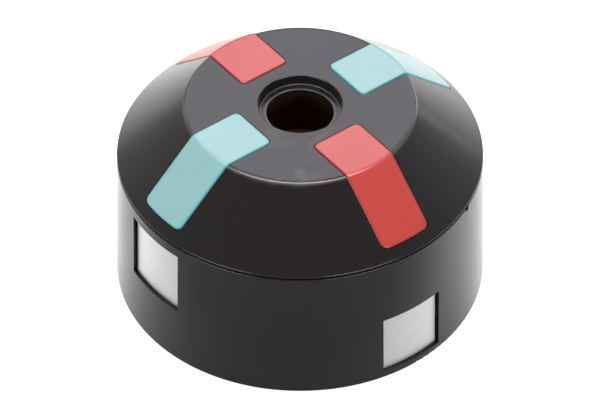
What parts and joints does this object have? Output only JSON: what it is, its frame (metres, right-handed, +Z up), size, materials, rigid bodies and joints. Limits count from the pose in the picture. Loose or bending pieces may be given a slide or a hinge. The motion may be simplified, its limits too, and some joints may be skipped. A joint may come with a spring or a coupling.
{
  "type": "security tag detacher",
  "caption": "Round countertop magnetic detacher with a stepped central well in a cone-shaped cover, coloured inlays and plated windows in the side.",
  "frame": {"origin": "centre of the resting face of the rubber foot, at the middle of the bounding box's bottom", "axes": "+Z up along the well; the high windows and the teal inlays look along +X and -X, the low windows and the red inlays along +Y and -Y"},
  "size_m": [0.1, 0.1, 0.0591],
  "materials": {
    "housing_plastic": "satin",
    "cover_plastic": "satin",
    "teal_inlay": "satin",
    "red_inlay": "satin",
    "seat_plastic": "satin",
    "well_plastic": "matte",
    "ring_magnet": "nickel plated",
    "block_magnet": "nickel plated",
    "pole_steel": "machined",
    "yoke_steel": "zinc plated",
    "carrier_plastic": "matte",
    "shoe_nickel": "satin nickel",
    "plate_steel": "zinc plated",
    "retainer_steel": "zinc plated",
    "screw_steel": "zinc plated",
    "foot_rubber": "matte"
  },
  "bodies": {
    "root": {"base_housing": "housing_plastic", "top_cover": "cover_plastic", "teal_inlay_right": "teal_inlay", "teal_inlay_left": "teal_inlay", "red_inlay_back": "red_inlay", "red_inlay_front": "red_inlay", "tag_seat_ring": "seat_plastic", "tag_well": "well_plastic", "upper_ring_magnet": "ring_magnet", "flux_spacer_ring": "pole_steel", "lower_ring_magnet": "ring_magnet", "core_magnet": "ring_magnet", "pole_tip": "pole_steel", "yoke_cup": "yoke_steel", "magnet_carrier": "carrier_plastic", "pole_shoe_right": "shoe_nickel", "side_magnet_right": "block_magnet", "backing_plate_right": "plate_steel", "magnet_retainer_right": "retainer_steel", "pole_shoe_back": "shoe_nickel", "side_magnet_back": "block_magnet", "backing_plate_back": "plate_steel", "magnet_retainer_back": "retainer_steel", "pole_shoe_left": "shoe_nickel", "side_magnet_left": "block_magnet", "backing_plate_left": "plate_steel", "magnet_retainer_left": "retainer_steel", "pole_shoe_front": "shoe_nickel", "side_magnet_front": "block_magnet", "backing_plate_front": "plate_steel", "magnet_retainer_front": "retainer_steel", "cover_screws": "screw_steel", "retainer_screws": "screw_steel", "foot_ring": "foot_rubber"}
  },
  "joints": []
}
